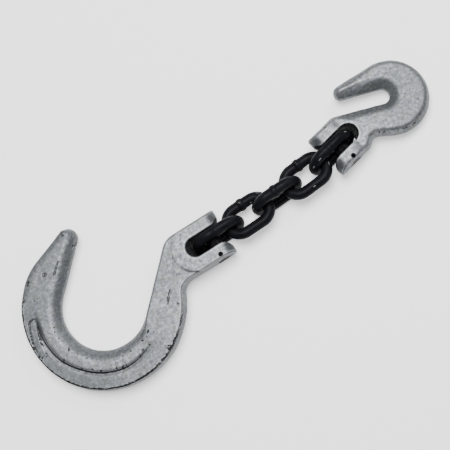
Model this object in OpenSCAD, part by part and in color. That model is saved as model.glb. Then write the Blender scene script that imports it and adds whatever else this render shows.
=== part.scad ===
// Safety chain hook: a clevis foundry hook and a clevis cradle grab hook joined by five chain links.
// Millimetres. +X runs along the foundry hook's line of pull, from its bowl towards the grab hook,
// +Z is up, and the origin is the middle of the bounding box at floor level. The assembly lies flat.

/* [Chain] */
// Chain wire diameter
wire = 10; // [8:0.5:13]
// Inside length of one link
link_inside = 30; // [24:0.5:40]
// Inside width of one link
link_width = 14; // [11:0.5:18]
// Diameter of the weld bead on a link
weld_dia = 11; // [10:0.1:15]
// Length of the weld bead
weld_len = 5; // [2:0.5:10]
// Clear gap left between two linked crowns
play = 0.1; // [0.05:0.05:0.5]
// Lean of the edge-on links from upright (degrees)
lean = 12; // [0:0.5:15]
// Heading of link 1 in the floor plane (degrees)
head_1 = 1.2; // [-1.3:0.1:1.3]
// Heading of link 2 (degrees)
head_2 = 2.2; // [-10:0.1:10]
// Heading of link 3 (degrees)
head_3 = 3; // [-10:0.1:10]
// Heading of link 4 (degrees)
head_4 = 4.8; // [-10:0.1:10]
// Heading of link 5 (degrees)
head_5 = 13; // [0:0.1:20]
// Link 1 sits this far forward of the foundry load pin
link_1_ahead = 6.5; // [4:0.1:8.6]

/* [Pins] */
// Load pin diameter
pin_dia = 12.5; // [10:0.1:13]
// Load pin length
pin_len = 41; // [34:0.5:46]
// Radial running clearance of the pins in their holes
fit = 0.05; // [0.01:0.01:0.1]
// Retaining pin outside diameter
keeper_dia = 4.1; // [3:0.1:6]
// Retaining pin wall
keeper_wall = 0.8; // [0.5:0.1:1.5]
// Depth of the retaining pin below the ear face
keeper_sink = 1.5; // [0:0.1:3]
// Retaining pin distance from the middle of the clevis
keeper_y = 17; // [14:0.1:18]

/* [Foundry hook] */
// Inside radius of the bowl
bowl_in = 38; // [30:0.5:45]
// Outside radius of the bowl
bowl_out = 72.8; // [60:0.2:90]
// Load pin to bowl centre
bowl_reach = 110.5; // [95:0.5:130]
// Radius at which the raised ridge steps down to the flange
ridge_out = 57.3; // [50:0.1:64]
// Thickness over the ridge and limbs
ridge_thick = 22; // [16:0.5:28]
// Thickness of the outer flange
flange_thick = 18.4; // [12:0.5:22]
// Width of the outer edge bevel on both hooks
rim_bevel = 3.5; // [1:0.1:5]
// Width of the inner bevel
bowl_bevel = 7; // [2:0.5:9]
// Radius of the rounded tip
tip_rad = 8.5; // [6:0.1:12]
// Tip centre measured along the limb from the bowl centre
tip_run = 49.7; // [40:0.1:60]
// Direction of the mouth (degrees from the line of pull)
mouth_dir = 45; // [35:1:55]

/* [Clevises] */
// Slot width between the ears
slot = 16.8; // [16:0.1:20]
// Width over the ears
clevis_width = 42.6; // [38:0.2:50]
// Thickness of both clevises
clevis_thick = 24; // [20:0.5:30]
// Foundry ears end this far past the load pin
fh_end = 12.5; // [11:0.1:16]
// Grab hook ears end this far past the load pin
gh_end = 16.5; // [13:0.1:20]
// Load pin to the centre of the foundry slot's closed end
fh_slot_run = 15.4; // [12:0.1:20]
// Load pin to the centre of the grab slot's closed end
gh_slot_run = 11.6; // [9:0.1:16]

/* [Grab hook] */
// Grab hook heading in the floor plane (degrees)
head_g = 14.4; // [0:0.1:20]
// Throat width
throat = 13.5; // [11:0.1:16]
// Throat closed-end centre, forward of the load pin
throat_x = 56.6; // [50:0.1:64]
// Throat closed-end centre, to the finger side
throat_y = 3.3; // [0:0.1:8]
// Fall of the throat (degrees)
throat_dir = 30.5; // [20:0.5:40]
// Head radius
head_rad = 33.5; // [28:0.1:40]
// Head centre, forward of the load pin
head_x = 61; // [54:0.1:68]
// Head centre, to the finger side
head_y = -2.6; // [-8:0.1:4]
// Thickness of the grab hook head
head_thick = 19; // [14:0.5:24]
// Width of the cradle bevel round the throat
cradle = 7.5; // [3:0.1:9]
// Finger tip radius
finger_rad = 6; // [4:0.1:8]
// Throat closed end to the finger tip centre
finger_run = 33.5; // [25:0.5:40]

/* [Hidden] */
$fn = 96;
e = 0.05;
big = 120;
wr = wire / 2;
crown = link_width / 2 + wr;                  // crown centreline radius
straight = link_inside - link_width;          // straight part of a strand
apex = link_inside / 2 + wr;                  // link centre to crown wire centre
edge_half = crown * cos(lean) + wr;           // half height of an edge-on link
mid = edge_half;                              // height of the chain line above the floor
step = link_inside / 2 - wr - play;           // link centre to the next link's crown wire
function dir(a) = [cos(a), sin(a)];
function turned(p, a) = [p[0] * cos(a) - p[1] * sin(a), p[0] * sin(a) + p[1] * cos(a)];

// chain line in the floor plane, measured from the foundry load pin
c1 = link_1_ahead * dir(head_1);
c2 = c1 + apex * dir(head_1) + step * dir(head_2);
c3 = c2 + step * dir(head_2) + apex * dir(head_3);
c4 = c3 + apex * dir(head_3) + step * dir(head_4);
c5 = c4 + step * dir(head_4) + apex * dir(head_5);
grab_pin = c5 + (link_inside / 2 - pin_dia / 2 - play) * dir(head_5);

// foundry hook outline, measured from the bowl centre with the mouth along +x
tip_c = [tip_run, bowl_in + tip_rad];
limb_fall = 24.8;                             // fall of the tip limb's outer edge
limb_rad = 46;                                // blend between the bowl and that edge
limb_c = (bowl_out - limb_rad) * dir(84);
gh_boss = 12;                                 // the grab clevis pads end this far past the load pin
half_w = clevis_width / 2;
half_t = clevis_thick / 2;
shoulder = 20;                                // convex shoulder radius
root_rad = 12;                                // concave fillet radius under the clevis
root_c = [-bowl_reach + sqrt(pow(bowl_out + root_rad, 2) - pow(half_w + root_rad, 2)),
          -half_w - root_rad];
root_dir = atan2(-root_c[1], -bowl_reach - root_c[0]);   // from the fillet towards the bowl centre
neck_x = bowl_in * sqrt(2) - bowl_reach;      // the shank's inner edge is y = x - neck_x
shoulder_x = shoulder * sqrt(2) + half_w - shoulder + neck_x;   // tangent to that edge and the clevis side

// tilts that set the bowl and the grab hook head down on the floor
fh_tilt = asin((mid - ridge_thick / 2) / (bowl_reach + ridge_out));
gh_tilt = asin((mid - head_thick / 2) / (head_x + head_rad - 4));

// bounding box, for the origin
x_lo = -bowl_reach - bowl_out;
x_hi = grab_pin[0] + turned([head_x, head_y], head_g)[0] + head_rad;
y_lo = -bowl_out;
y_hi = turned(tip_c, mouth_dir)[1] + tip_rad;
shift = [-(x_lo + x_hi) / 2, -(y_lo + y_hi) / 2, 0];

steel = [0.66, 0.68, 0.70];
black = [0.10, 0.10, 0.11];
pin_grey = [0.30, 0.31, 0.33];
spring = [0.50, 0.50, 0.52];

// ---- frames ----
module at_foundry() { translate(shift + [0, 0, mid]) rotate([0, -fh_tilt, 0]) children(); }
module at_grab() {
    translate(shift + [grab_pin[0], grab_pin[1], mid]) rotate([0, 0, head_g]) rotate([0, gh_tilt, 0]) children();
}
module at_link(c, heading, flat) {
    translate(shift + [c[0], c[1], mid]) rotate([0, 0, heading]) rotate([flat ? -lean : 90 - lean, 0, 0]) children();
}

// ---- shared pieces ----
function arc(c, r, a0, a1, n) = [for (i = [0 : n]) c + r * dir(a0 + (a1 - a0) * i / n)];
// an arc whose radius runs from r0 to r1
function arc2(c, r0, r1, a0, a1, n) =
    [for (i = [0 : n]) c + (r0 + (r1 - r0) * i / n) * dir(a0 + (a1 - a0) * i / n)];

function between(p, q, n) = [for (i = [1 : n]) p + (q - p) * i / (n + 1)];
function back(v) = [for (i = [len(v) - 1 : -1 : 0]) v[i]];

// solid through a stack of outlines of equal length, each run clockwise seen from above;
// the flat faces are closed as a strip from one half of the outline to the other
module loft(rings, zs) {
    n = len(rings[0]);
    m = len(rings);
    t = (m - 1) * n;
    polyhedron(
        points = [for (k = [0 : m - 1]) for (q = rings[k]) [q[0], q[1], zs[k]]],
        faces = concat(
            [for (k = [0 : m - 2]) for (i = [0 : n - 1]) [k * n + i, k * n + (i + 1) % n, (k + 1) * n + (i + 1) % n]],
            [for (k = [0 : m - 2]) for (i = [0 : n - 1]) [k * n + i, (k + 1) * n + (i + 1) % n, (k + 1) * n + i]],
            [for (i = [0 : n / 2 - 2]) [t + i, t + i + 1, t + n - 2 - i]],
            [for (i = [0 : n / 2 - 2]) [t + i, t + n - 2 - i, t + n - 1 - i]],
            [for (i = [0 : n / 2 - 2]) [n - 2 - i, i + 1, i]],
            [for (i = [0 : n / 2 - 2]) [n - 1 - i, n - 2 - i, i]]),
        convexity = 8);
}
// heights and insets of a symmetrical forging, from the lower face to the upper one
function mirrored(v) = concat([for (i = [len(v) - 1 : -1 : 0]) v[i]], v);
function heights(v) = concat([for (i = [len(v) - 1 : -1 : 0]) -v[i]], v);

module slot_cut(run, mouth, reach) {
    translate([-run, 0, -big / 2]) cylinder(r = slot / 2, h = big);
    translate([-run, -slot / 2, -big / 2]) cube([run + reach + 10, slot, big]);
    translate([0, 0, -big / 2]) linear_extrude(big)
        polygon([[mouth, slot / 2 - e], [reach + e, slot / 2 + 5], [reach + 9, slot / 2 + 15],
                 [reach + 9, -slot / 2 - 15], [reach + e, -slot / 2 - 5], [mouth, -slot / 2 + e]]);
}

module pin_holes() {
    rotate([90, 0, 0]) cylinder(r = pin_dia / 2 + fit, h = big, center = true);
    translate([0, -keeper_y, 0]) cylinder(r = keeper_dia / 2 + fit, h = big, center = true);
}

module load_pin() {
    c = 0.8;
    difference() {
        rotate([90, 0, 0]) rotate_extrude()
            polygon([[0, -pin_len / 2], [pin_dia / 2 - c, -pin_len / 2], [pin_dia / 2, -pin_len / 2 + c],
                     [pin_dia / 2, pin_len / 2 - c], [pin_dia / 2 - c, pin_len / 2], [0, pin_len / 2]]);
        translate([0, -keeper_y, 0]) cylinder(r = keeper_dia / 2 + fit, h = big, center = true);
    }
}

module retaining_pin() {
    h = clevis_thick - 2 * keeper_sink;
    translate([0, -keeper_y, -h / 2]) difference() {
        cylinder(r = keeper_dia / 2, h = h);
        translate([0, 0, -1]) cylinder(r = keeper_dia / 2 - keeper_wall, h = h + 2);
        translate([0, -0.5, -1]) cube([keeper_dia, 1, h + 2]);
    }
}

// one welded link, its long axis along x and its plane level
module chain_link() {
    union() {
        for (s = [-1, 1]) {
            translate([-straight / 2, s * crown, 0]) rotate([0, 90, 0]) cylinder(r = wr, h = straight);
            translate([s * straight / 2, 0, 0]) rotate([0, 0, -90 * s]) rotate_extrude(angle = 180)
                translate([crown, 0]) circle(r = wr);
        }
        translate([0, crown, 0]) rotate([0, 90, 0]) rotate_extrude()
            polygon([[0, -weld_len / 2], [wr - 0.3, -weld_len / 2], [weld_dia / 2, -weld_len / 5],
                     [weld_dia / 2, weld_len / 5], [wr - 0.3, weld_len / 2], [0, weld_len / 2]]);
    }
}

// ---- foundry hook ----
// outline in the load pin's frame, both halves run from the tip to the clevis;
// inset by ti on the mouth side and by to on the outside
tip_mid = mouth_dir + 20;
function tip_at(p) = [-bowl_reach, 0] + turned(p, mouth_dir);
function fh_in(ti, to) = concat(
    arc2(tip_at(tip_c), tip_rad - (ti + to) / 2, tip_rad - ti, tip_mid, mouth_dir - 90, 7),
    between(tip_at([tip_run, bowl_in + ti]), tip_at([0, bowl_in + ti]), 5),
    arc([-bowl_reach, 0], bowl_in + ti, 90 + mouth_dir, 270 + mouth_dir, 30),
    between(tip_at([0, -bowl_in - ti]), tip_at([60, -bowl_in - (ti + to) / 2]), 4),
    arc([shoulder_x, half_w - shoulder], shoulder - 0.3 - (ti + to) / 2, 90 + mouth_dir, 90, 6),
    [[-19, half_w - 0.6 - to / 2]]);
function fh_out(ti, to) = concat(
    [for (i = [1 : 7]) arc2(tip_at(tip_c), tip_rad - (ti + to) / 2, tip_rad - to, tip_mid, mouth_dir + 90 - limb_fall, 7)[i]],
    arc(tip_at(limb_c), limb_rad - to, mouth_dir + 90 - limb_fall, mouth_dir + 84, 5),
    arc([-bowl_reach, 0], bowl_out - to, mouth_dir + 84, root_dir + 180, 33),
    arc(root_c, root_rad + 0.3 + to, root_dir, 90, 7),
    [[-19, 0.6 + to / 2 - half_w]]);
function fh_ring(ti, to) = concat(fh_in(ti, to), back(fh_out(ti, to)));

module foundry_body() {
    h = ridge_thick / 2;
    loft([for (t = mirrored([[0, 0], [0.16, 0], [0.5, 0.25], [1, 1]])) fh_ring(t[0] * bowl_bevel, t[1] * rim_bevel)],
         heights([3, 6, 8.8, h]));
}

module foundry_hook() color(steel) at_foundry() difference() {
    union() {
        difference() {
            foundry_body();
            // lowered flange round the bowl
            for (s = [0, 1]) mirror([0, 0, s]) translate([-bowl_reach, 0, 0])
                rotate([0, 0, 150]) rotate_extrude(angle = 130)
                    polygon([[ridge_out, ridge_thick / 2 + 2], [ridge_out, ridge_thick / 2 - 0.4],
                             [ridge_out + 1.4, flange_thick / 2], [bowl_out + 4, flange_thick / 2],
                             [bowl_out + 4, ridge_thick / 2 + 2]]);
        }
        // thicker clevis with rounded ear ends
        intersection() {
            translate([0, 0, -half_t]) linear_extrude(clevis_thick) difference() {
                union() {
                    translate([-fh_slot_run, 0]) circle(r = half_w);
                    polygon([[-fh_slot_run, -half_w], [fh_end - 1.5, -half_w], [fh_end, 1.5 - half_w],
                             [fh_end, half_w - 1.5], [fh_end - 1.5, half_w], [-fh_slot_run, half_w]]);
                }
            }
            rotate([90, 0, 0]) linear_extrude(big, center = true) union() {
                circle(r = fh_end);
                translate([-60, -half_t - 1]) square([60, clevis_thick + 2]);
            }
        }
    }
    slot_cut(fh_slot_run, 8.3, fh_end);
    pin_holes();
}

module foundry_load_pin() color(pin_grey) at_foundry() load_pin();
module foundry_retaining_pin() color(spring) at_foundry() retaining_pin();

// ---- chain ----
module chain_link_1() color(black) at_link(c1, head_1, false) chain_link();
module chain_link_2() color(black) at_link(c2, head_2, true) chain_link();
module chain_link_3() color(black) at_link(c3, head_3, false) chain_link();
module chain_link_4() color(black) at_link(c4, head_4, true) chain_link();
module chain_link_5() color(black) at_link(c5, head_5, false) chain_link();

// ---- grab hook ----
thr_c = [throat_x, throat_y];
thr_n = dir(90 - throat_dir);                 // across the throat, towards the finger
thr_d = dir(180 - throat_dir);                // along the throat, towards its mouth
finger_c = thr_c + finger_run * thr_d + (throat / 2 + finger_rad) * thr_n;
head_c = [head_x, head_y];
finger_dir = atan2(head_c[1] - finger_c[1], head_c[0] - finger_c[0])
             + asin((head_rad - finger_rad) / norm(head_c - finger_c));
// shoulder on the finger side: touches the clevis side and the throat's lower wall
gs_rad = 13;
gs_c = [(thr_c * thr_n - throat / 2 - gs_rad - (half_w - gs_rad) * thr_n[1]) / thr_n[0], half_w - gs_rad];
// back: clevis corner, then a small neck, then a straight run onto the head
back_dir = -131;
back_rad = 10;
neck_rad = 7;
back_c = [15, back_rad - half_w];
back_q = head_c + (head_rad + neck_rad) * dir(back_dir) - back_c;
back_u = dir(back_dir - 90);
back_s = -(back_q * back_u) - sqrt(pow(back_q * back_u, 2) - back_q * back_q + pow(back_rad + neck_rad, 2));
neck_c = back_c + back_q + back_s * back_u;
neck_dir = atan2(neck_c[1] - back_c[1], neck_c[0] - back_c[0]);

finger_mid = 165;
function gh_in(ti, to) = concat(
    arc2(finger_c, finger_rad - (ti + to) / 2, finger_rad - ti, finger_mid, 270 - throat_dir, 7),
    between(finger_c + (finger_rad - ti) * dir(270 - throat_dir), thr_c + (throat / 2 + ti) * thr_n, 5),
    arc(thr_c, throat / 2 + ti, 90 - throat_dir, -90 - throat_dir, 20),
    between(thr_c - (throat / 2 + ti) * thr_n, gs_c + (gs_rad - ti) * thr_n, 6),
    arc(gs_c, gs_rad - 0.3 - ti, 90 - throat_dir, 90, 4),
    [[4, half_w - 0.6 - ti]]);
function gh_out(ti, to) = concat(
    [for (i = [1 : 7]) arc2(finger_c, finger_rad - (ti + to) / 2, finger_rad - to, finger_mid, finger_dir + 90, 7)[i]],
    between(finger_c + (finger_rad - to) * dir(finger_dir + 90), head_c + (head_rad - to) * dir(finger_dir + 90), 4),
    arc(head_c, head_rad - to, finger_dir + 90, back_dir, 21),
    arc(neck_c, neck_rad + to, back_dir + 180, neck_dir + 180, 6),
    arc(back_c, back_rad - 0.3 - to, neck_dir, -90, 4),
    [[4, 0.6 + to / 2 - half_w]]);
function gh_ring(ti, to) = concat(gh_out(ti, to), back(gh_in(ti, to)));

module grab_body() {
    h = head_thick / 2;
    loft([for (t = mirrored([[0, 0], [0.34, 0], [0.74, 0.3], [1, 1]])) gh_ring(t[0] * cradle, t[1] * rim_bevel)],
         heights([3, 5.4, 8, h]));
}

module grab_hook() color(steel) at_grab() difference() {
    union() {
        grab_body();
        // thicker clevis: flat pads over the pin, rounded ear ends
        intersection() {
            translate([0, 0, -half_t]) linear_extrude(clevis_thick)
                polygon([[gh_boss, -half_w], [gh_boss, half_w], [1.5 - gh_end, half_w], [-gh_end, half_w - 1.5],
                         [-gh_end, 1.5 - half_w], [1.5 - gh_end, -half_w]]);
            rotate([90, 0, 0]) linear_extrude(big, center = true) union() {
                translate([half_t - gh_end, 0]) circle(r = half_t);
                polygon([[half_t - gh_end, -half_t], [7.5, -half_t], [gh_boss + 1, -head_thick / 2],
                         [gh_boss + 1, head_thick / 2], [7.5, half_t], [half_t - gh_end, half_t]]);
            }
        }
    }
    mirror([1, 0, 0]) slot_cut(gh_slot_run, 12.6, gh_end);
    pin_holes();
}

module grab_load_pin() color(pin_grey) at_grab() load_pin();
module grab_retaining_pin() color(spring) at_grab() retaining_pin();

foundry_hook();
foundry_load_pin();
foundry_retaining_pin();
chain_link_1();
chain_link_2();
chain_link_3();
chain_link_4();
chain_link_5();
grab_hook();
grab_load_pin();
grab_retaining_pin();
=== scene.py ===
"""Looks for the safety chain hook: two forged clevis hooks joined by five welded chain links.

The forged hooks are grown as smooth skins over distance functions, in millimetres and in each hook's own
frame: the load pin is the origin and +X runs along the hook. Every piece stands for one CAD node.
"""

import math

import bpy
import numpy as np
from mathutils import Matrix, Vector


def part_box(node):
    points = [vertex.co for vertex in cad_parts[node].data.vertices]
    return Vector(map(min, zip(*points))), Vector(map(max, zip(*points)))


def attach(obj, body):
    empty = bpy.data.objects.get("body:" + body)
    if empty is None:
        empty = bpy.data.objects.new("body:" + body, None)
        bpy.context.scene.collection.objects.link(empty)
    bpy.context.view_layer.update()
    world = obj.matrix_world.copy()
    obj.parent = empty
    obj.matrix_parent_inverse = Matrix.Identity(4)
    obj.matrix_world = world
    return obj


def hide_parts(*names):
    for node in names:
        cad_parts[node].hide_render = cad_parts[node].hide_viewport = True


MM = 0.001
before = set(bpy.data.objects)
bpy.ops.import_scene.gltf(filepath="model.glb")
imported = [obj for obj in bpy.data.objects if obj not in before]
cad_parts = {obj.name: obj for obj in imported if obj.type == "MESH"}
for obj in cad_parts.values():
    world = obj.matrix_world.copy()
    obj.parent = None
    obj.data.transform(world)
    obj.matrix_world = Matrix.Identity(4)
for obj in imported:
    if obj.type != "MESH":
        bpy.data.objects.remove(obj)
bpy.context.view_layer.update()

# ---------------------------------------------------------------- dimensions, in mm and degrees
WIRE = 10.0
LINK_INSIDE = 30.0
LINK_WIDTH = 14.0
PLAY = 0.1
LEAN = 12.0
HEADINGS = (1.2, 2.2, 3.0, 4.8, 13.0)
LINK_1_AHEAD = 6.5
BEAD = 1.0                        # how far a weld stands out
END_BEAD = 0.5                    # the same on the end links, which turn inside the slots

PIN_DIA = 12.5
PIN_LEN = 41.0
PIN_FIT = 0.05
KEEPER_DIA = 4.1
KEEPER_WALL = 0.8
KEEPER_SINK = 1.5
KEEPER_Y = 17.0
KEEPER_SLIT = 1.0
PIN_SIDES = 72
KEEPER_SIDES = 40

HALF_W = 21.3                     # half width over the ears
HALF_T = 12.0                     # half thickness of both clevises
SLOT = 8.4                        # half width of the slots
FLARE_RISE = 1.18                 # how fast a slot's mouth widens
RIB_TOP = 10.85                   # height of the foundry hook's rib above its middle
MARK_DEPTH = 0.42
BORE_HALF = 40                    # half length of the cutters, past both faces of a hook

BOWL_IN = 38.0
BOWL_OUT = 72.8
REACH = 110.5
RIDGE_OUT = 57.3
RIDGE_HALF = 11.0
MOUTH = 45.0
TIP_RAD = 8.5
TIP_RUN = 49.7
LIMB_FALL = 24.8
LIMB_RAD = 46.0
SHOULDER = 20.0
ROOT_RAD = 12.0
FH_END = 12.5
FH_SLOT_RUN = 15.4
FH_FLARE = 8.3                    # where the slot's mouth starts to widen, from the load pin
FH_SADDLE = 4.7                   # how far the closed end of the slot swells inwards
CROWN_SWEEP = 19.2                # radius round a load pin that an end link's crown keeps within

GRAB_HEADING = 14.4
THROAT = 13.5
THROAT_C = np.array([56.6, 3.3])
THROAT_DIR = 30.5
HEAD_RAD = 33.5
HEAD_C = np.array([61.0, -2.6])
HEAD_HALF = 9.5
FINGER_RAD = 6.0
FINGER_RUN = 33.5
GH_END = 16.5
GH_SLOT_RUN = 11.6
GH_FLARE = 12.6
GH_SADDLE = 0.9
GS_RAD = 13.0
BACK_DIR = -131.0
BACK_RAD = 10.0
NECK_RAD = 7.0


# ---------------------------------------------------------------- places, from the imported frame
def centre(node):
    low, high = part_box(node)
    return (Vector(low) + Vector(high)) / 2 / MM


def way(angle):
    return np.array([math.cos(math.radians(angle)), math.sin(math.radians(angle))])


foundry_pin = centre("foundry_load_pin")
grab_pin = centre("grab_load_pin")
MID = foundry_pin.z
FH_TILT = math.asin((MID - RIDGE_HALF) / (REACH + RIDGE_OUT))
GH_TILT = math.asin((MID - HEAD_HALF) / (HEAD_C[0] + HEAD_RAD - 4))
at_foundry = Matrix.Translation(foundry_pin) @ Matrix.Rotation(-FH_TILT, 4, "Y")
at_grab = (Matrix.Translation(grab_pin) @ Matrix.Rotation(math.radians(GRAB_HEADING), 4, "Z")
           @ Matrix.Rotation(GH_TILT, 4, "Y"))


def link_frames():
    """Where the five links are: every other one lies flat, the rest stand on edge, all leaning by LEAN."""
    apex = LINK_INSIDE / 2 + WIRE / 2
    step = LINK_INSIDE / 2 - WIRE / 2 - PLAY
    h = HEADINGS
    place = [LINK_1_AHEAD * way(h[0])]
    for i in range(4):
        reach = (apex, step) if i % 2 == 0 else (step, apex)
        place.append(place[-1] + reach[0] * way(h[i]) + reach[1] * way(h[i + 1]))
    frames = []
    for i, p in enumerate(place):
        roll = -LEAN if i % 2 else 90 - LEAN
        frames.append(Matrix.Translation(foundry_pin + Vector((p[0], p[1], 0)))
                      @ Matrix.Rotation(math.radians(h[i]), 4, "Z")
                      @ Matrix.Rotation(math.radians(roll), 4, "X"))
    return frames


# ---------------------------------------------------------------- distance functions
def smax(a, b, k):
    h = np.clip(0.5 + 0.5 * (a - b) / k, 0, 1)
    return b + (a - b) * h + k * h * (1 - h)


def smin(a, b, k):
    return -smax(-a, -b, k)


def ramp(x, a, b):
    t = np.clip((x - a) / (b - a), 0, 1)
    return t * t * (3 - 2 * t)


def mix(a, b, t):
    return a + (b - a) * t


def arc(c, r, a0, a1, steel_inside):
    return ("arc", np.asarray(c, float), r, a0, a1, 1 if steel_inside else -1)


def line(p, q, steel_left):
    return ("line", np.asarray(p, float), np.asarray(q, float), 1 if steel_left else -1)


def reach_of(curve, x, y):
    """Signed distance to a run of arcs and lines, positive on the steel's side."""
    best = None
    for part in curve:
        if part[0] == "arc":
            _, c, r, a0, a1, sign = part
            dx, dy = x - c[0], y - c[1]
            d = np.hypot(dx, dy)
            turn = np.degrees(np.arctan2(dy, dx))
            low, high = min(a0, a1), max(a0, a1)
            over = (turn - low) % 360
            off = np.minimum(np.hypot(dx - r * way(a0)[0], dy - r * way(a0)[1]),
                             np.hypot(dx - r * way(a1)[0], dy - r * way(a1)[1]))
            size = np.where(over <= high - low, np.abs(d - r), off)
            side = np.where(d < r, sign, -sign)
        else:
            _, p, q, sign = part
            u = q - p
            length = math.hypot(*u)
            u = u / length
            t = np.clip((x - p[0]) * u[0] + (y - p[1]) * u[1], 0, length)
            size = np.hypot(x - p[0] - t * u[0], y - p[1] - t * u[1])
            side = np.where(u[0] * (y - p[1]) - u[1] * (x - p[0]) > 0, sign, -sign)
        signed = size * side
        best = signed if best is None else np.where(size < np.abs(best), signed, best)
    return best


def nearer(s_in, s_out, blur):
    """The distance to the nearer run, and how far the place belongs to the outer one, from 0 to 1."""
    a, b = np.abs(s_in), np.abs(s_out)
    return np.where(a < b, s_in, s_out), ramp(a - b, -blur, blur)


def turned(p, a):
    c, s = way(a)
    return np.array([p[0] * c - p[1] * s, p[0] * s + p[1] * c])


def ripple(x, y, z, size, seed):
    """Smooth swells about size across, mostly between -1 and 1."""
    rng = np.random.default_rng(seed)
    total = 0.0
    for _ in range(8):
        d = rng.normal(size=3)
        d *= 2 * math.pi * rng.uniform(0.7, 1.3) / size / np.linalg.norm(d)
        total = total + np.sin(d[0] * x + d[1] * y + d[2] * z + rng.uniform(0, 2 * math.pi))
    return total / 4


def pits(x, y, z, seed):
    """Scattered small dents left by scale in the forging die."""
    return 0.35 * np.clip(ripple(x, y, z, 4.6, seed) * ripple(x, y, z, 23, seed + 1) - 1.1, 0, 1)


# ---------------------------------------------------------------- outlines
def on_limb(p):
    return np.array([-REACH, 0.0]) + turned(p, MOUTH)


tip_c = on_limb([TIP_RUN, BOWL_IN + TIP_RAD])
limb_c = on_limb((BOWL_OUT - LIMB_RAD) * way(84))
limb_up = MOUTH + 90 - LIMB_FALL
tip_mid = MOUTH + 20
neck_x = BOWL_IN * math.sqrt(2) - REACH
shoulder_c = np.array([SHOULDER * math.sqrt(2) + HALF_W - SHOULDER + neck_x, HALF_W - SHOULDER])
root_c = np.array([-REACH + math.sqrt((BOWL_OUT + ROOT_RAD) ** 2 - (HALF_W + ROOT_RAD) ** 2),
                   -HALF_W - ROOT_RAD])
root_dir = math.degrees(math.atan2(-root_c[1], -REACH - root_c[0]))
bowl_c = np.array([-REACH, 0.0])

FOUNDRY_IN = [
    arc(tip_c, TIP_RAD, MOUTH - 90, tip_mid, True),
    line(on_limb([TIP_RUN, BOWL_IN]), on_limb([0, BOWL_IN]), False),
    arc(bowl_c, BOWL_IN, 90 + MOUTH, 270 + MOUTH, False),
    line(bowl_c + BOWL_IN * way(270 + MOUTH), shoulder_c + SHOULDER * way(90 + MOUTH), False),
    arc(shoulder_c, SHOULDER, 90, 90 + MOUTH, True),
    line(shoulder_c + [0, SHOULDER], [FH_END + 9, HALF_W], False),
]
FOUNDRY_OUT = [
    arc(tip_c, TIP_RAD, tip_mid, limb_up, True),
    line(tip_c + TIP_RAD * way(limb_up), limb_c + LIMB_RAD * way(limb_up), True),
    arc(limb_c, LIMB_RAD, limb_up, MOUTH + 84, True),
    arc(bowl_c, BOWL_OUT, MOUTH + 84, root_dir + 180, True),
    arc(root_c, ROOT_RAD, 90, root_dir, False),
    line(root_c + [0, ROOT_RAD], [FH_END + 9, -HALF_W], True),
]

thr_n = way(90 - THROAT_DIR)
thr_d = way(180 - THROAT_DIR)
finger_c = THROAT_C + FINGER_RUN * thr_d + (THROAT / 2 + FINGER_RAD) * thr_n
to_head = HEAD_C - finger_c
finger_dir = (math.degrees(math.atan2(to_head[1], to_head[0]))
              + math.degrees(math.asin((HEAD_RAD - FINGER_RAD) / math.hypot(*to_head))))
finger_mid = 165.0
gs_c = np.array([(THROAT_C @ thr_n - THROAT / 2 - GS_RAD - (HALF_W - GS_RAD) * thr_n[1]) / thr_n[0],
                 HALF_W - GS_RAD])
back_c = np.array([15.0, BACK_RAD - HALF_W])
back_q = HEAD_C + (HEAD_RAD + NECK_RAD) * way(BACK_DIR) - back_c
back_u = way(BACK_DIR - 90)
back_s = -(back_q @ back_u) - math.sqrt((back_q @ back_u) ** 2 - back_q @ back_q + (BACK_RAD + NECK_RAD) ** 2)
neck_c = back_c + back_q + back_s * back_u
neck_dir = math.degrees(math.atan2(*(neck_c - back_c)[::-1]))

GRAB_IN = [
    arc(finger_c, FINGER_RAD, finger_mid, 270 - THROAT_DIR, True),
    line(finger_c + FINGER_RAD * way(270 - THROAT_DIR), THROAT_C + THROAT / 2 * thr_n, True),
    arc(THROAT_C, THROAT / 2, -90 - THROAT_DIR, 90 - THROAT_DIR, False),
    line(THROAT_C - THROAT / 2 * thr_n, gs_c + GS_RAD * thr_n, True),
    arc(gs_c, GS_RAD, 90 - THROAT_DIR, 90, True),
    line(gs_c + [0, GS_RAD], [-GH_END - 9, HALF_W], True),
]
GRAB_OUT = [
    arc(finger_c, FINGER_RAD, finger_dir + 90, finger_mid, True),
    line(finger_c + FINGER_RAD * way(finger_dir + 90), HEAD_C + HEAD_RAD * way(finger_dir + 90), False),
    arc(HEAD_C, HEAD_RAD, BACK_DIR, finger_dir + 90, True),
    line(HEAD_C + HEAD_RAD * way(BACK_DIR), neck_c + NECK_RAD * way(BACK_DIR + 180), False),
    arc(neck_c, NECK_RAD, BACK_DIR + 180, neck_dir + 180, False),
    arc(back_c, BACK_RAD, -90, neck_dir, True),
    line(back_c - [0, BACK_RAD], [-GH_END - 9, -HALF_W], False),
]


def slot_gap(x, y, z, run, mouth, saddle):
    """Distance to a slot that opens towards +X, negative inside it, with a flared mouth and a rounded floor.

    Below the middle the floor follows the sweep of the link's crown round the load pin.
    """
    side = np.abs(y) - SLOT
    flare = (np.abs(y) - SLOT - FLARE_RISE * (x - mouth)) / math.hypot(1, FLARE_RISE)
    away = np.hypot(x + run, y)
    deep = ramp((-x - run) / np.maximum(away, 0.1), 0.1, 0.95) * np.clip(1 - (z / 10.5) ** 2, 0, 1)
    slot = np.where(x > -run, smin(side, flare, 1.5), away - SLOT + saddle * deep)
    sill = np.hypot(x, z) - CROWN_SWEEP + 1.1 * ramp(np.abs(y), 1, 3.2) + 1.1 * ramp(np.abs(y), 4.5, 8)
    return np.where((x < -8) & (saddle > 0), mix(smax(slot, sill, 1.0), slot, ramp(z, -4, 1)), slot)


def wall(up, s, foot, top, width):
    """A drafted wall that rises from foot at the outline to top at width inside it."""
    m = (top - foot) / width
    return (up - foot - m * s) / np.sqrt(1 + m * m)


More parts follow.
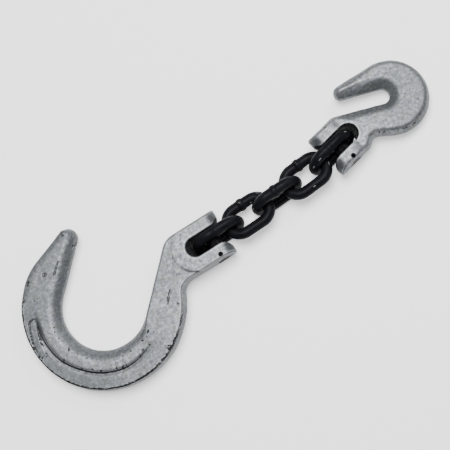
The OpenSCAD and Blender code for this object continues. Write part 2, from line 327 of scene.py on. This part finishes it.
def round_bowl(x, y):
    """Radius and direction from the bowl's centre, in degrees from 60 to 420: the jump is in the mouth."""
    return np.hypot(x + REACH, y), (np.degrees(np.arctan2(y, x + REACH)) - 60) % 360 + 60


def rib_foot(r, turn):
    """Radius of the step at the outer foot of the rib, and how far a place lies beyond it, from 0 to 1."""
    at = RIDGE_OUT + 0.9 - 1.5 * ramp(turn, 195, 225) - 2.5 * ramp(turn, 255, 292)
    soft = 1.1 + 3.5 * (1 - ramp(turn, 150, 190))
    return at, ramp(r, at - soft, at + soft)


def stroke(away):
    """1 on a sunk line, 0 beside it."""
    return 1 - ramp(np.abs(away), 0.25, 0.85)


def bar(x, y, p, q):
    """Distance to a straight stroke from p to q."""
    along = q - p
    t = np.clip(((x - p[0]) * along[0] + (y - p[1]) * along[1]) / (along @ along), 0, 1)
    return np.hypot(x - p[0] - t * along[0], y - p[1] - t * along[1])


def foundry_marks(x, y, r, turn):
    """Plain forging marks: an empty frame on the flange, and a ring and a bar on both limb and shank."""
    off = np.radians(np.clip(turn, 163, 187) - turn) * r
    frame_line = stroke(np.hypot(r - mix(62.2, 66.4, ramp(turn, 158, 190)), off) - 3.6)
    limb_ring = stroke(np.hypot(x + 140.4, y - 49.6) - 1.2)
    limb_bar = stroke(bar(x, y, np.array([-124.4, 53.4]), np.array([-133.6, 44.4])))
    shank_ring = stroke(np.hypot(x + 40.1, y + 8.4) - 4.6)
    shank_bar = stroke(bar(x, y, np.array([-52.9, -20.1]), np.array([-61.1, -29.1])))
    return np.maximum.reduce([frame_line, limb_ring, limb_bar, shank_ring, shank_bar])


def foundry_form(x, y, z):
    s_in, s_out = reach_of(FOUNDRY_IN, x, y), reach_of(FOUNDRY_OUT, x, y)
    s, outer = nearer(s_in, s_out, 4)
    r, turn = round_bowl(x, y)
    up = np.abs(z)
    # top face: a flat limb that runs on as the flange, and a rounded rib round the bowl
    rib = ramp(turn, 138, 186) * (1 - ramp(turn, 262, 296))
    step_at, beyond = rib_foot(r, turn)
    flat = 10.2 - 1.3 * ramp(turn, 140, 185) * (1 - ramp(turn, 235, 296))
    flat = flat + 0.6 * ramp(turn, 285, 305)
    hump = ramp(r, 36, 50) * (1 - beyond)
    groove = np.exp(-((r - step_at - 1.3) / 1.5) ** 2) * ramp(turn, 150, 185) * (1 - ramp(turn, 270, 300))
    top = flat + (RIB_TOP - flat) * rib * hump - 0.8 * groove - MARK_DEPTH * foundry_marks(x, y, r, turn)
    # clevis boss: a thin crisp step on the lower side that fades out on the upper one
    boss = np.where(x > -FH_SLOT_RUN, np.abs(y), np.hypot(x + FH_SLOT_RUN, y)) - HALF_W
    top = mix(top, HALF_T - 0.3, ramp(x, -66, -34) * ramp(y, -19, -6))
    top = mix(top, HALF_T, 1 - ramp(boss, -1.0, 0.5))
    # walls
    tail = ramp(x, -96, -80)
    w_in = mix(5.4, 2.4, tail * ramp(y, -60, -40))
    w_in = mix(mix(3.6, 5.4, ramp(turn, 82, 96)), w_in, ramp(turn, 95, 140))
    w_out = mix(1.5, 2.6, ramp(turn, 296, 310))
    w_out = np.where(x > -60, mix(w_out, 1.5, ramp(x, -45, -34)), w_out)
    side = wall(up, s, mix(3.4, 1.0, outer), top, mix(w_in, w_out, outer))
    round_over = mix(mix(4.2, 1.4, tail), 1.3, outer)
    body = smax(up - top, side, round_over)
    # shallow bevel along the outside of the tip limb
    limb = 1 - ramp(turn, 138, 168)
    bevel = up - top + 2.2 - 0.5 * s_out - 6 * (1 - limb) - 1.2 * (1 - ramp(turn, 82, 96))
    body = smax(body, bevel / 1.12, 1.8)
    body = smax(body, -s, 1.0)
    # ear ends rounded about the load pin
    ears = np.where(x > 0, np.hypot(x, z), up) - FH_END
    body = smax(body, ears, 1.6)
    body = smax(body, -slot_gap(x, y, z, FH_SLOT_RUN, FH_FLARE, FH_SADDLE), 1.4)
    return body + 0.10 * ripple(x, y, z, 17, 3) + 0.05 * ripple(x, y, z, 5.5, 4) + pits(x, y, z, FOUNDRY_SEED)


def grab_form(x, y, z):
    s_in, s_out = reach_of(GRAB_IN, x, y), reach_of(GRAB_OUT, x, y)
    s, outer = nearer(s_in, s_out, 3)
    up = np.abs(z)
    top = mix(HALF_T, HEAD_HALF, ramp(x, 4.5, 13))
    finger = ramp(y, 16, 24) * (1 - ramp(x, 46, 62))
    w_in = mix(3.2, mix(7.2, 4.6, finger), ramp(x, 14, 24))
    w_out = mix(2.4, 3.4, ramp(x, 14, 24))
    foot = mix(mix(2.8, 3.6, finger), mix(1.8, 3.0, finger), outer)
    side = wall(up, s, foot, top, mix(w_in, w_out, outer))
    body = smax(smax(up - top, side, mix(mix(2.4, 6.5, finger), mix(3.2, 6.0, finger), outer)), -s, 1.0)
    ears = np.where(x < HALF_T - GH_END, np.hypot(x - HALF_T + GH_END, z), up) - HALF_T
    body = smax(body, ears, 1.6)
    body = smax(body, -slot_gap(-x, y, z, GH_SLOT_RUN, GH_FLARE, GH_SADDLE), 1.4)
    body = body + 0.08 * ripple(x, y, z, 13, 5) + 0.04 * ripple(x, y, z, 4.5, 6)
    return body + 0.6 * pits(x, y, z, GRAB_SEED)


# ---------------------------------------------------------------- meshes
def slope(f, p, h=0.04):
    return np.stack([(f(*(p + h * e).T) - f(*(p - h * e).T)) / (2 * h) for e in np.eye(3)], 1)


def skin(f, low, high, cell):
    """Vertices and quads over f = 0, where f < 0 is steel.

    Each crossed cell has one vertex, which is then drawn onto the surface.
    """
    ax = [np.arange(a, b + cell, cell) for a, b in zip(low, high)]
    shape = tuple(len(a) for a in ax)
    value = np.broadcast_to(f(*np.meshgrid(*ax, indexing="ij", sparse=True)), shape)
    cells = tuple(n - 1 for n in shape)
    total, count, edges = np.zeros((np.prod(cells), 3)), np.zeros(np.prod(cells)), []
    for k in range(3):
        a = np.take(value, np.arange(shape[k] - 1), k)
        b = np.take(value, np.arange(1, shape[k]), k)
        at = np.argwhere((a < 0) != (b < 0))
        va, vb = a[tuple(at.T)], b[tuple(at.T)]
        p = np.array(low) + cell * (at + np.eye(3, dtype=int)[k] * (va / (va - vb))[:, None])
        u, v = (k + 1) % 3, (k + 2) % 3
        ring = []
        for du, dv in ((-1, -1), (0, -1), (0, 0), (-1, 0)):
            c = at.copy()
            c[:, u] += du
            c[:, v] += dv
            flat = np.ravel_multi_index(c.T, cells)
            for i in range(3):
                total[:, i] += np.bincount(flat, p[:, i], len(total))
            count += np.bincount(flat, minlength=len(count))
            ring.append(flat)
        ring = np.stack(ring, 1)
        edges.append(np.where((va < 0)[:, None], ring, ring[:, ::-1]))
    used = count > 0
    number = np.cumsum(used) - 1
    p = total[used] / count[used, None]
    for _ in range(4):
        g = slope(f, p)
        step = (f(*p.T) / np.maximum((g * g).sum(1), 0.1))[:, None] * g
        p = p - np.clip(step, -0.4 * cell, 0.4 * cell)
    return p, number[np.concatenate(edges)]


def wear_and_shade_masks(f, p, reach=1.6):
    """How far each place is a hollow, how far an edge, and how steep, all from 0 to 1."""
    g = slope(f, p)
    size = np.linalg.norm(g, axis=1)
    n = g / size[:, None]
    hollow = 1 - f(*(p + reach * n).T) / size / reach
    edge = 1 + f(*(p - reach * n).T) / size / reach
    return np.clip(hollow, 0, 1), np.clip(edge, 0, 1), 1 - np.abs(n[:, 2])


def add_mesh(name, verts, faces, matrix, smooth=True):
    mesh = bpy.data.meshes.new(name)
    mesh.from_pydata([tuple(v) for v in np.asarray(verts) * MM], [],
                     [tuple(int(i) for i in q) for q in faces])
    place = matrix.copy()
    place.translation = matrix.translation * MM
    mesh.transform(place)
    if smooth:
        mesh.shade_smooth()
    mesh.validate()
    obj = bpy.data.objects.new(name, mesh)
    bpy.context.scene.collection.objects.link(obj)
    return obj


def set_layer(obj, name, values):
    layer = obj.data.attributes.new(name, "FLOAT", "POINT")
    layer.data.foreach_set("value", np.asarray(values, dtype=np.float32))


def stand_in(obj, node, body, material):
    obj.data.materials.append(material)
    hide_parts(node)
    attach(obj, body)


def lathe(profile, n):
    """Verts and quads of a turned solid with closed ends; profile is (radius, height) from bottom to top."""
    verts, faces = [], []
    for r, h in profile:
        for i in range(n):
            a = 2 * math.pi * i / n
            verts.append((r * math.cos(a), r * math.sin(a), h))
    for k in range(len(profile) - 1):
        for i in range(n):
            j = (i + 1) % n
            faces.append((k * n + i, k * n + j, (k + 1) * n + j, (k + 1) * n + i))
    faces.append(tuple(range(n))[::-1])
    faces.append(tuple(range((len(profile) - 1) * n, len(profile) * n)))
    return np.array(verts), faces


def cut(obj, radius, half, matrix, sides):
    """Bores a round hole through obj."""
    verts, faces = lathe([(radius, -half), (radius, half)], sides)
    tool = add_mesh("cutter", verts, faces, matrix, smooth=False)
    mod = obj.modifiers.new("bore", "BOOLEAN")
    mod.operation, mod.solver, mod.object = "DIFFERENCE", "EXACT", tool
    with bpy.context.temp_override(object=obj, active_object=obj, selected_objects=[obj]):
        bpy.ops.object.modifier_apply(modifier=mod.name)
    bpy.data.objects.remove(tool)


# ---------------------------------------------------------------- materials
def new_material(name):
    mat = bpy.data.materials.new(name)
    mat.use_nodes = True
    tree = mat.node_tree
    return mat, tree, tree.nodes["Principled BSDF"]


def put(tree, kind, inputs=None, **settings):
    node = tree.nodes.new(kind)
    for key, value in settings.items():
        setattr(node, key, value)
    for key, value in (inputs or {}).items():
        if isinstance(value, bpy.types.NodeSocket):
            tree.links.new(value, node.inputs[key])
        else:
            node.inputs[key].default_value = value
    return node


def noise(tree, where, scale, detail=3.0, rough=0.5):
    inputs = {"Vector": where, "Scale": scale, "Detail": detail, "Roughness": rough}
    return put(tree, "ShaderNodeTexNoise", inputs).outputs["Fac"]


def remap(tree, value, a, b, lo=0.0, hi=1.0):
    inputs = {"Value": value, "From Min": a, "From Max": b, "To Min": lo, "To Max": hi}
    return put(tree, "ShaderNodeMapRange", inputs).outputs["Result"]


def calc(tree, op, a, b):
    return put(tree, "ShaderNodeMath", {0: a, 1: b}, operation=op).outputs[0]


def blend(tree, t, a, b, mode="MIX"):
    n = put(tree, "ShaderNodeMix", data_type="RGBA", blend_type=mode)
    for socket, value in ((n.inputs[0], t), (n.inputs[6], a), (n.inputs[7], b)):
        if isinstance(value, bpy.types.NodeSocket):
            tree.links.new(value, socket)
        else:
            socket.default_value = value if not isinstance(value, tuple) else (*value, 1.0)
    return n.outputs[2]


def bump(tree, height, strength, distance, below=None):
    inputs = {"Height": height, "Strength": strength, "Distance": distance}
    if below is not None:
        inputs["Normal"] = below
    return put(tree, "ShaderNodeBump", inputs).outputs["Normal"]


def silver_paint():
    """Silver paint on forged steel: mottled, with painted shade in the hollows, on steep faces and in the
    slots, a painted highlight along convex edges, and bare dark steel where it is chipped.
    """
    mat, tree, shader = new_material("silver_paint")
    where = put(tree, "ShaderNodeTexCoord").outputs["Object"]
    cloud = noise(tree, where, 75, 5, 0.6)
    fine = noise(tree, where, 420, 4, 0.65)
    grain = noise(tree, where, 1500, 2, 0.6)
    tint = noise(tree, where, 150, 3)
    base = blend(tree, remap(tree, cloud, 0.3, 0.7), (0.115, 0.124, 0.130), (0.205, 0.214, 0.218))
    patch = noise(tree, where, 210, 2, 0.5)
    base = blend(tree, remap(tree, patch, 0.35, 0.65, 0, 0.55), base, (0.235, 0.245, 0.25))
    base = blend(tree, remap(tree, tint, 0.45, 0.7, 0, 0.8), base, (0.16, 0.17, 0.205))
    base = blend(tree, remap(tree, tint, 0.45, 0.28, 0, 0.6), base, (0.155, 0.18, 0.155))
    base = blend(tree, remap(tree, fine, 0.42, 0.68, 0.0, 0.75), base, (0.07, 0.075, 0.08))
    base = blend(tree, remap(tree, fine, 0.46, 0.34, 0.0, 0.5), base, (0.30, 0.31, 0.315))
    # Painted shade and duller paint: darker on the flange, limb and head face, at the rib's foot and at the
    # ear ends.
    dull_and_shade = put(tree, "ShaderNodeAttribute", attribute_name="dull_and_shade").outputs["Fac"]
    base = blend(tree, calc(tree, "MULTIPLY", dull_and_shade, 0.6), base, (0.06, 0.065, 0.07))
    # Painted shade: steep faces are darkened, as if turned from the light.
    steep = put(tree, "ShaderNodeAttribute", attribute_name="steep").outputs["Fac"]
    uneven = calc(tree, "MULTIPLY", calc(tree, "SUBTRACT", fine, 0.5), 0.12)
    steep_shade = remap(tree, calc(tree, "ADD", steep, uneven), 0.03, 0.2, 0, 0.22)
    base = blend(tree, steep_shade, base, (0.045, 0.048, 0.052))
    base = blend(tree, remap(tree, steep, 0.6, 0.95, 0, 0.45), base, (0.045, 0.048, 0.052))
    speckle = calc(tree, "ADD", noise(tree, where, 260, 3, 0.7), calc(tree, "MULTIPLY", cloud, 0.25))
    specks = remap(tree, speckle, 0.80, 0.84)
    # Painted shade darkens the hollows, with ragged edges; chipped places and the slot walls go dark too.
    hollow = put(tree, "ShaderNodeAttribute", attribute_name="hollow").outputs["Fac"]
    chip_and_slot_shade = put(tree, "ShaderNodeAttribute", attribute_name="chip_and_slot_shade").outputs["Fac"]
    ragged = calc(tree, "MULTIPLY", calc(tree, "SUBTRACT", fine, 0.5), 2.4)
    hollow_shade = remap(tree, calc(tree, "ADD", hollow, calc(tree, "MULTIPLY", ragged, 0.12)), 0.05, 0.26, 0.0, 0.95)
    bare = remap(tree, calc(tree, "ADD", chip_and_slot_shade, ragged), 0.50, 0.66)
    dark = calc(tree, "MAXIMUM", calc(tree, "MAXIMUM", hollow_shade, bare), calc(tree, "MULTIPLY", specks, 0.7))
    # Painted highlight: convex edges lightened along the crests.
    crest = put(tree, "ShaderNodeAttribute", attribute_name="crest").outputs["Fac"]
    base = blend(tree, remap(tree, crest, 0.02, 0.22, 0, 0.6), base, (0.34, 0.35, 0.355))
    colour = blend(tree, dark, base, (0.011, 0.011, 0.012))
    tree.links.new(colour, shader.inputs["Base Color"])
    shader.inputs["Specular IOR Level"].default_value = 0.15
    tree.links.new(remap(tree, dark, 0, 1, 0.6, 0.1), shader.inputs["Metallic"])
    rough = calc(tree, "ADD", remap(tree, fine, 0.2, 0.8, 0.40, 0.56), calc(tree, "MULTIPLY", dark, 0.18))
    tree.links.new(rough, shader.inputs["Roughness"])
    n = bump(tree, fine, 0.35, 0.0005)
    n = bump(tree, grain, 0.25, 0.0002, n)
    tree.links.new(bump(tree, dark, 0.4, -0.0003, n), shader.inputs["Normal"])
    return mat


def black_satin(name, colour, rough):
    """Black heat-treated scale with a satin sheen and lighter scuffed spots, which are partly painted glints.
    """
    mat, tree, shader = new_material(name)
    where = put(tree, "ShaderNodeTexCoord").outputs["Object"]
    cloud = noise(tree, where, 110, 4, 0.6)
    fine = noise(tree, where, 700, 4, 0.6)
    rub_and_glint = put(tree, "ShaderNodeAttribute", attribute_name="rub_and_glint").outputs["Fac"]
    base = blend(tree, remap(tree, cloud, 0.35, 0.7), colour, tuple(c * 2.2 + 0.001 for c in colour))
    shader.inputs["Specular IOR Level"].default_value = 0.045
    ragged = calc(tree, "MULTIPLY", calc(tree, "SUBTRACT", fine, 0.5), 1.2)
    # Lighter rubbed spots, partly painted glints.
    worn_and_glint = remap(tree, calc(tree, "ADD", rub_and_glint, ragged), 0.6, 0.95, 0, 0.9)
    tree.links.new(blend(tree, worn_and_glint, base, (0.15, 0.15, 0.155)), shader.inputs["Base Color"])
    tree.links.new(remap(tree, fine, 0.25, 0.75, rough - 0.07, rough + 0.12), shader.inputs["Roughness"])
    n = bump(tree, fine, 0.3, 0.0003)
    tree.links.new(bump(tree, cloud, 0.25, 0.0008, n), shader.inputs["Normal"])
    return mat


def turned_steel(name, colour, rough, metallic):
    """Dark machined steel with fine turning marks and a darker haze."""
    mat, tree, shader = new_material(name)
    where = put(tree, "ShaderNodeTexCoord").outputs["Object"]
    along = put(tree, "ShaderNodeMapping", {"Vector": where, "Scale": (0.15, 1.0, 0.15)}).outputs[0]
    marks = noise(tree, along, 1800, 2)
    haze = noise(tree, where, 160, 4, 0.6)
    base = blend(tree, remap(tree, haze, 0.35, 0.7), colour, tuple(c * 0.55 for c in colour))
    tree.links.new(base, shader.inputs["Base Color"])
    shader.inputs["Metallic"].default_value = metallic
    shader.inputs["Specular IOR Level"].default_value = 0.1
    tree.links.new(remap(tree, marks, 0.3, 0.7, rough - 0.06, rough + 0.1), shader.inputs["Roughness"])
    tree.links.new(bump(tree, marks, 0.2, 0.0002), shader.inputs["Normal"])
    return mat


PAINT = silver_paint()
CHAIN = black_satin("chain_black", (0.0032, 0.0032, 0.0042), 0.38)
# The load pins' near-black colour is partly painted shade, standing in for the shade inside the slots.
PIN = turned_steel("pin_steel", (0.006, 0.006, 0.007), 0.45, 0.0)
SPRING = turned_steel("spring_steel", (0.02, 0.02, 0.022), 0.45, 0.5)

# ---------------------------------------------------------------- forged hooks
PIN_TURN = Matrix.Rotation(math.radians(90), 4, "X")
FOUNDRY_SEED, GRAB_SEED = 9, 10    # of the pits in each hook's surface and of the chips in them
KNOCKS = 34                       # small knocks scattered along the rib


def at_keeper(matrix):
    return matrix @ Matrix.Translation((0, -KEEPER_Y, 0))


def forged(name, form, low, high, cell, matrix, spots, body, pit_seed, ear_end):
    verts, faces = skin(form, low, high, cell)
    hollow, edge, steep = wear_and_shade_masks(form, verts)
    chip_and_slot_shade, dull_and_shade = spots(verts, edge)
    # Painted shade on the rounded ear ends round the load pin.
    dull_and_shade = np.maximum(dull_and_shade, 1.2 * (1 - ramp(np.abs(verts[:, 0] - ear_end), 5, 8.5)))
    chip_and_slot_shade = np.maximum(chip_and_slot_shade, 3 * pits(*verts.T, pit_seed))
    obj = add_mesh(name, verts, faces, matrix)
    set_layer(obj, "hollow", hollow)
    set_layer(obj, "chip_and_slot_shade", chip_and_slot_shade)
    set_layer(obj, "steep", steep)
    set_layer(obj, "crest", edge)
    set_layer(obj, "dull_and_shade", dull_and_shade)
    cut(obj, PIN_DIA / 2 + PIN_FIT, BORE_HALF, matrix @ PIN_TURN, PIN_SIDES)
    cut(obj, KEEPER_DIA / 2 + PIN_FIT, BORE_HALF, at_keeper(matrix), KEEPER_SIDES)
    stand_in(obj, name, body, PAINT)


def in_slot(p, turn, run, mouth):
    """1 on the walls of a slot, which are painted dark as shade, and 0 elsewhere."""
    gap = slot_gap(turn * p[:, 0], p[:, 1], 0 * p[:, 2] + 20, run, mouth, 0)
    return (1 - ramp(gap, 0.25, 1.1)) * ramp(-np.abs(p[:, 2]), -11.6, -10.2)


def near(p, x, y, radius):
    return 1 - ramp(np.hypot(p[:, 0] - x, p[:, 1] - y), radius * 0.4, radius)


def foundry_chips_and_shade(p, edge):
    """How bare and how dark each place is: bare along the outer rim round the bowl and at the knocks, with
    the slot walls painted dark as shade; darker over the flange and limb, and painted shade along the outer
    foot of the rib.
    """
    r, turn = round_bowl(p[:, 0], p[:, 1])
    s_out = reach_of(FOUNDRY_OUT, p[:, 0], p[:, 1])
    rim = (1 - ramp(np.abs(s_out - 1.6), 0.9, 1.9)) * ramp(turn, 140, 150) * (1 - ramp(turn, 318, 345))
    chip_and_slot_shade = (0.86 - 0.16 * ramp(turn, 275, 305)) * rim * ramp(np.abs(p[:, 2]), 6.6, 8.0)
    upper = ramp(p[:, 2], 6.0, 8.0)
    rng = np.random.default_rng(31)
    for _ in range(KNOCKS):
        a, inner = rng.uniform(172, 302), rng.uniform() < 0.6
        at = (BOWL_IN + 8.5 if inner else rib_foot(0, a)[0] - 1.5) + rng.normal(0, 0.8)
        x, y = bowl_c + at * way(a)
        chip_and_slot_shade = np.maximum(chip_and_slot_shade, rng.uniform(0.75, 1.0) * upper * near(p, x, y, rng.uniform(0.8, 1.7)))
    for x, y, radius, depth in ((-158, 52, 5, 1.0), (-170, 41, 6, 0.9), (-177, 29, 5, 0.9),
                                (-183, 12, 5, 0.7), (-108, 72, 4, 0.9), (-103, 65, 2.5, 0.6),
                                (-77, -62, 6, 0.9), (-70, -57, 5, 0.9)):
        chip_and_slot_shade = np.maximum(chip_and_slot_shade, depth * upper * near(p, x, y, radius) * (0.7 + 0.3 * ramp(edge, 0.0, 0.3)))
    step_at, beyond = rib_foot(r, turn)
    flange = beyond * ramp(turn, 150, 180)
    dull_and_shade = 0.5 * (1 - ramp(turn, 150, 190)) + 0.85 * flange * (1 - ramp(turn, 235, 262))
    # Painted shade along the outer foot of the rib, on the slope that turns from the light.
    shade = np.exp(-((r - step_at + 0.3) / mix(2.6, 1.6, ramp(turn, 190, 230))) ** 2)
    dull_and_shade = np.maximum(dull_and_shade, 2.0 * shade * ramp(turn, 140, 175) * (1 - ramp(turn, 278, 300)) * upper)
    return np.maximum(chip_and_slot_shade, in_slot(p, 1, FH_SLOT_RUN, FH_FLARE)), dull_and_shade * (p[:, 0] < -60)


def grab_chips_and_shade(p, edge):
    """How bare and how dark each place is: bare along a broken line on the head's rim and at two knocks, with
    the slot walls painted dark as shade; darker over the head's face.
    """
    turn = np.degrees(np.arctan2(p[:, 1] - HEAD_C[1], p[:, 0] - HEAD_C[0]))
    s_out = reach_of(GRAB_OUT, p[:, 0], p[:, 1])
    rim = (1 - ramp(np.abs(s_out - 1.9), 0.5, 1.4)) * ramp(np.abs(p[:, 2]), 4, 6)
    rim = rim * np.maximum(ramp(turn, -14, -6) * (1 - ramp(turn, 26, 38)), 0.85 - 0.85 * ramp(turn, -98, -84))
    chip_and_slot_shade = np.maximum(0.55 * rim * (p[:, 0] > 24), 0.25 * ramp(edge, 0.2, 0.6))
    chip_and_slot_shade = np.maximum(chip_and_slot_shade, in_slot(p, -1, GH_SLOT_RUN, GH_FLARE))
    for x, y, radius, depth in ((34.5, 34.5, 2, 0.7), (20, 15, 3, 0.5)):
        chip_and_slot_shade = np.maximum(chip_and_slot_shade, depth * near(p, x, y, radius))
    return chip_and_slot_shade, 0.6 * ramp(p[:, 0], 24, 60) * (1 - ramp(p[:, 1], 10, 22))


FINE = 1.0
forged("foundry_hook", foundry_form, (-186, -76, -14), (16, 80, 14), 0.8 * FINE, at_foundry, foundry_chips_and_shade,
       "foundry", FOUNDRY_SEED, FH_END)
forged("grab_hook", grab_form, (-20, -40, -14), (98, 44, 14), 0.65 * FINE, at_grab, grab_chips_and_shade,
       "grab", GRAB_SEED, -GH_END)


# ---------------------------------------------------------------- chain
SCUFFS_AND_GLINTS = 9


def link_mesh(seed, bead):
    """A welded link: a bar bent into an oval, swollen by bead at the weld on the +Y strand."""
    crown, straight, bar = LINK_WIDTH / 2 + WIRE / 2, LINK_INSIDE - LINK_WIDTH, WIRE / 2
    half, turn = straight / 2, math.pi * crown
    total = 2 * (straight + turn)
    n, m = 176, 36
    t = total * np.arange(n) / n                     # run along the bar from the middle of the weld
    a = np.select([t < half, t < half + turn, t < half + turn + straight, t < total - half],
                  [90, 90 - np.degrees((t - half) / crown), -90,
                   -90 - np.degrees((t - half - turn - straight) / crown)], 90)
    mid = np.select([t < half, t < half + turn, t < half + turn + straight, t < total - half],
                    [t, half, 2 * half + turn - t, -half], t - total)
    aim = np.radians(a)[:, None]
    b = (2 * math.pi * np.arange(m) / m)[None, :]
    centre_x = mid[:, None] + crown * np.cos(aim)
    centre_y = crown * np.sin(aim)
    out = np.stack([np.cos(aim) * np.cos(b), np.sin(aim) * np.cos(b), np.sin(b) + 0 * aim], -1)
    away = np.minimum(t, total - t)[:, None]
    swell = bead * np.exp(-((away / 2.1) ** 4)) + 0.1 * np.exp(-((away - 3.2) / 1.0) ** 2)
    r = bar - 0.03 + swell * (0.88 + 0.12 * np.sin(3 * b + seed))
    base = np.stack([centre_x + 0 * b, centre_y + 0 * b, 0 * aim + 0 * b], -1)
    p = base + r[..., None] * out
    place = np.moveaxis(p, -1, 0)
    r = r + 0.05 * (ripple(*place, 9, seed) - 1) + 0.03 * (ripple(*place, 3.2, seed + 50) - 1)
    verts = (base + r[..., None] * out).reshape(-1, 3)
    # Lighter weld collar, strips and scuffs: partly rubbed wear, partly painted glints.
    rub_and_glint = 0.4 * swell / bead + 0.2 * (np.abs(np.cos(b)) < 0.3)
    rng = np.random.default_rng(seed + 90)
    for _ in range(SCUFFS_AND_GLINTS):                          # longer along the bar than round it
        along = (t[:, None] - rng.uniform(0, total) + total / 2) % total - total / 2
        round_bar = bar * ((b - rng.uniform(0, 2 * math.pi) + math.pi) % (2 * math.pi) - math.pi)
        rub_and_glint = np.maximum(rub_and_glint, 1.3 * np.exp(-(along / 1.9) ** 2 - (round_bar / 0.7) ** 2))
    rub_and_glint = rub_and_glint.reshape(-1)
    grid = np.arange(n * m).reshape(n, m)
    ahead = np.roll(grid, -1, 0)
    faces = np.stack([grid, np.roll(grid, -1, 1), np.roll(ahead, -1, 1), ahead], -1)
    return verts, faces.reshape(-1, 4), rub_and_glint


for i, matrix in enumerate(link_frames()):
    bead = END_BEAD if i in (0, 4) else BEAD
    verts, faces, rub_and_glint = link_mesh(i + 20, bead)
    link = add_mesh(f"chain_link_{i + 1}", verts, faces, matrix)
    set_layer(link, "rub_and_glint", rub_and_glint)
    stand_in(link, f"chain_link_{i + 1}", f"link_{i + 1}", CHAIN)


# ---------------------------------------------------------------- pins
def load_pin(name, matrix, body):
    r, h = PIN_DIA / 2, PIN_LEN / 2
    profile = [(r - 2.2, -h + 0.35), (r - 1.7, -h), (r - 0.9, -h), (r - 0.3, -h + 0.3), (r, -h + 0.9),
               (r, h - 0.9), (r - 0.3, h - 0.3), (r - 0.9, h), (r - 1.7, h), (r - 2.2, h - 0.35)]
    verts, faces = lathe(profile, PIN_SIDES)
    pin = add_mesh(name, verts, faces, matrix @ PIN_TURN)
    cut(pin, KEEPER_DIA / 2 + PIN_FIT, BORE_HALF, at_keeper(matrix), KEEPER_SIDES)
    stand_in(pin, name, body, PIN)


def retaining_pin(name, matrix, body):
    """A rolled spring pin: a slit tube with rounded ends."""
    r, w, h = KEEPER_DIA / 2, KEEPER_WALL, HALF_T - KEEPER_SINK
    loop = [(r - w, -h + 0.3), (r - w + 0.25, -h), (r - 0.3, -h), (r, -h + 0.5),
            (r, h - 0.5), (r - 0.3, h), (r - w + 0.25, h), (r - w, h - 0.3)]
    n, half_gap = KEEPER_SIDES, math.asin(KEEPER_SLIT / 2 / r)
    verts, faces = [], []
    for i in range(n + 1):
        a = half_gap + (2 * math.pi - 2 * half_gap) * i / n
        verts += [(q * math.cos(a), q * math.sin(a), z) for q, z in loop]
    m = len(loop)
    for i in range(n):
        for j in range(m):
            l = (j + 1) % m
            faces.append((i * m + j, i * m + l, (i + 1) * m + l, (i + 1) * m + j)[::-1])
    faces.append(tuple(range(m)))
    faces.append(tuple(range(n * m, n * m + m))[::-1])
    pin = add_mesh(name, verts, faces, at_keeper(matrix))
    stand_in(pin, name, body, SPRING)


for hook, matrix in (("foundry", at_foundry), ("grab", at_grab)):
    load_pin(hook + "_load_pin", matrix, hook)
    retaining_pin(hook + "_retaining_pin", matrix, hook)


# ---------------------------------------------------------------- stage, light and camera
def floor():
    mat, tree, shader = new_material("pale_floor")
    shader.inputs["Base Color"].default_value = (0.93, 0.93, 0.93, 1)
    shader.inputs["Emission Color"].default_value = (1, 1, 1, 1)
    shader.inputs["Emission Strength"].default_value = 0.6
    shader.inputs["Roughness"].default_value = 0.9
    shader.inputs["Specular IOR Level"].default_value = 0.1
    size = 4000
    corners = [(-size, -size, 0), (size, -size, 0), (size, size, 0), (-size, size, 0)]
    obj = add_mesh("floor", corners, [(0, 1, 2, 3)], Matrix.Identity(4), smooth=False)
    obj.data.materials.append(mat)


def lamp(name, place, aim, size, power):
    data = bpy.data.lights.new(name, "AREA")
    data.shape, data.size, data.energy = "DISK", size, power
    obj = bpy.data.objects.new(name, data)
    obj.location = Vector(place)
    obj.rotation_euler = (Vector(aim) - obj.location).to_track_quat("-Z", "Y").to_euler()
    bpy.context.scene.collection.objects.link(obj)


floor()
lamp("top", (0.14, 0.33, 1.8), (0, 0, 0), 1.0, 60)
lamp("side", (1.2, 0.55, 1.3), (0, 0, 0), 0.7, 12)
world = bpy.data.worlds.new("studio")
world.use_nodes = True
world.node_tree.nodes["Background"].inputs["Color"].default_value = (0.95, 0.97, 1.0, 1)
world.node_tree.nodes["Background"].inputs["Strength"].default_value = 0.3
bpy.context.scene.world = world

TARGET = Vector((-6.68, 2.68, 16.5)) * MM
EYE = Vector((27.42, -200.85, 1096.97)) * MM
UP_HINT = Vector((0.515, 0.857, 0))
LENS = 102.5
data = bpy.data.cameras.new("camera")
data.lens, data.sensor_width = LENS, 36.0
camera = bpy.data.objects.new("camera", data)
forward = (TARGET - EYE).normalized()
right = forward.cross(UP_HINT).normalized()
up = right.cross(forward)
camera.matrix_world = Matrix.Translation(EYE) @ Matrix((right, up, -forward)).transposed().to_4x4()
bpy.context.scene.collection.objects.link(camera)
bpy.context.scene.camera = camera
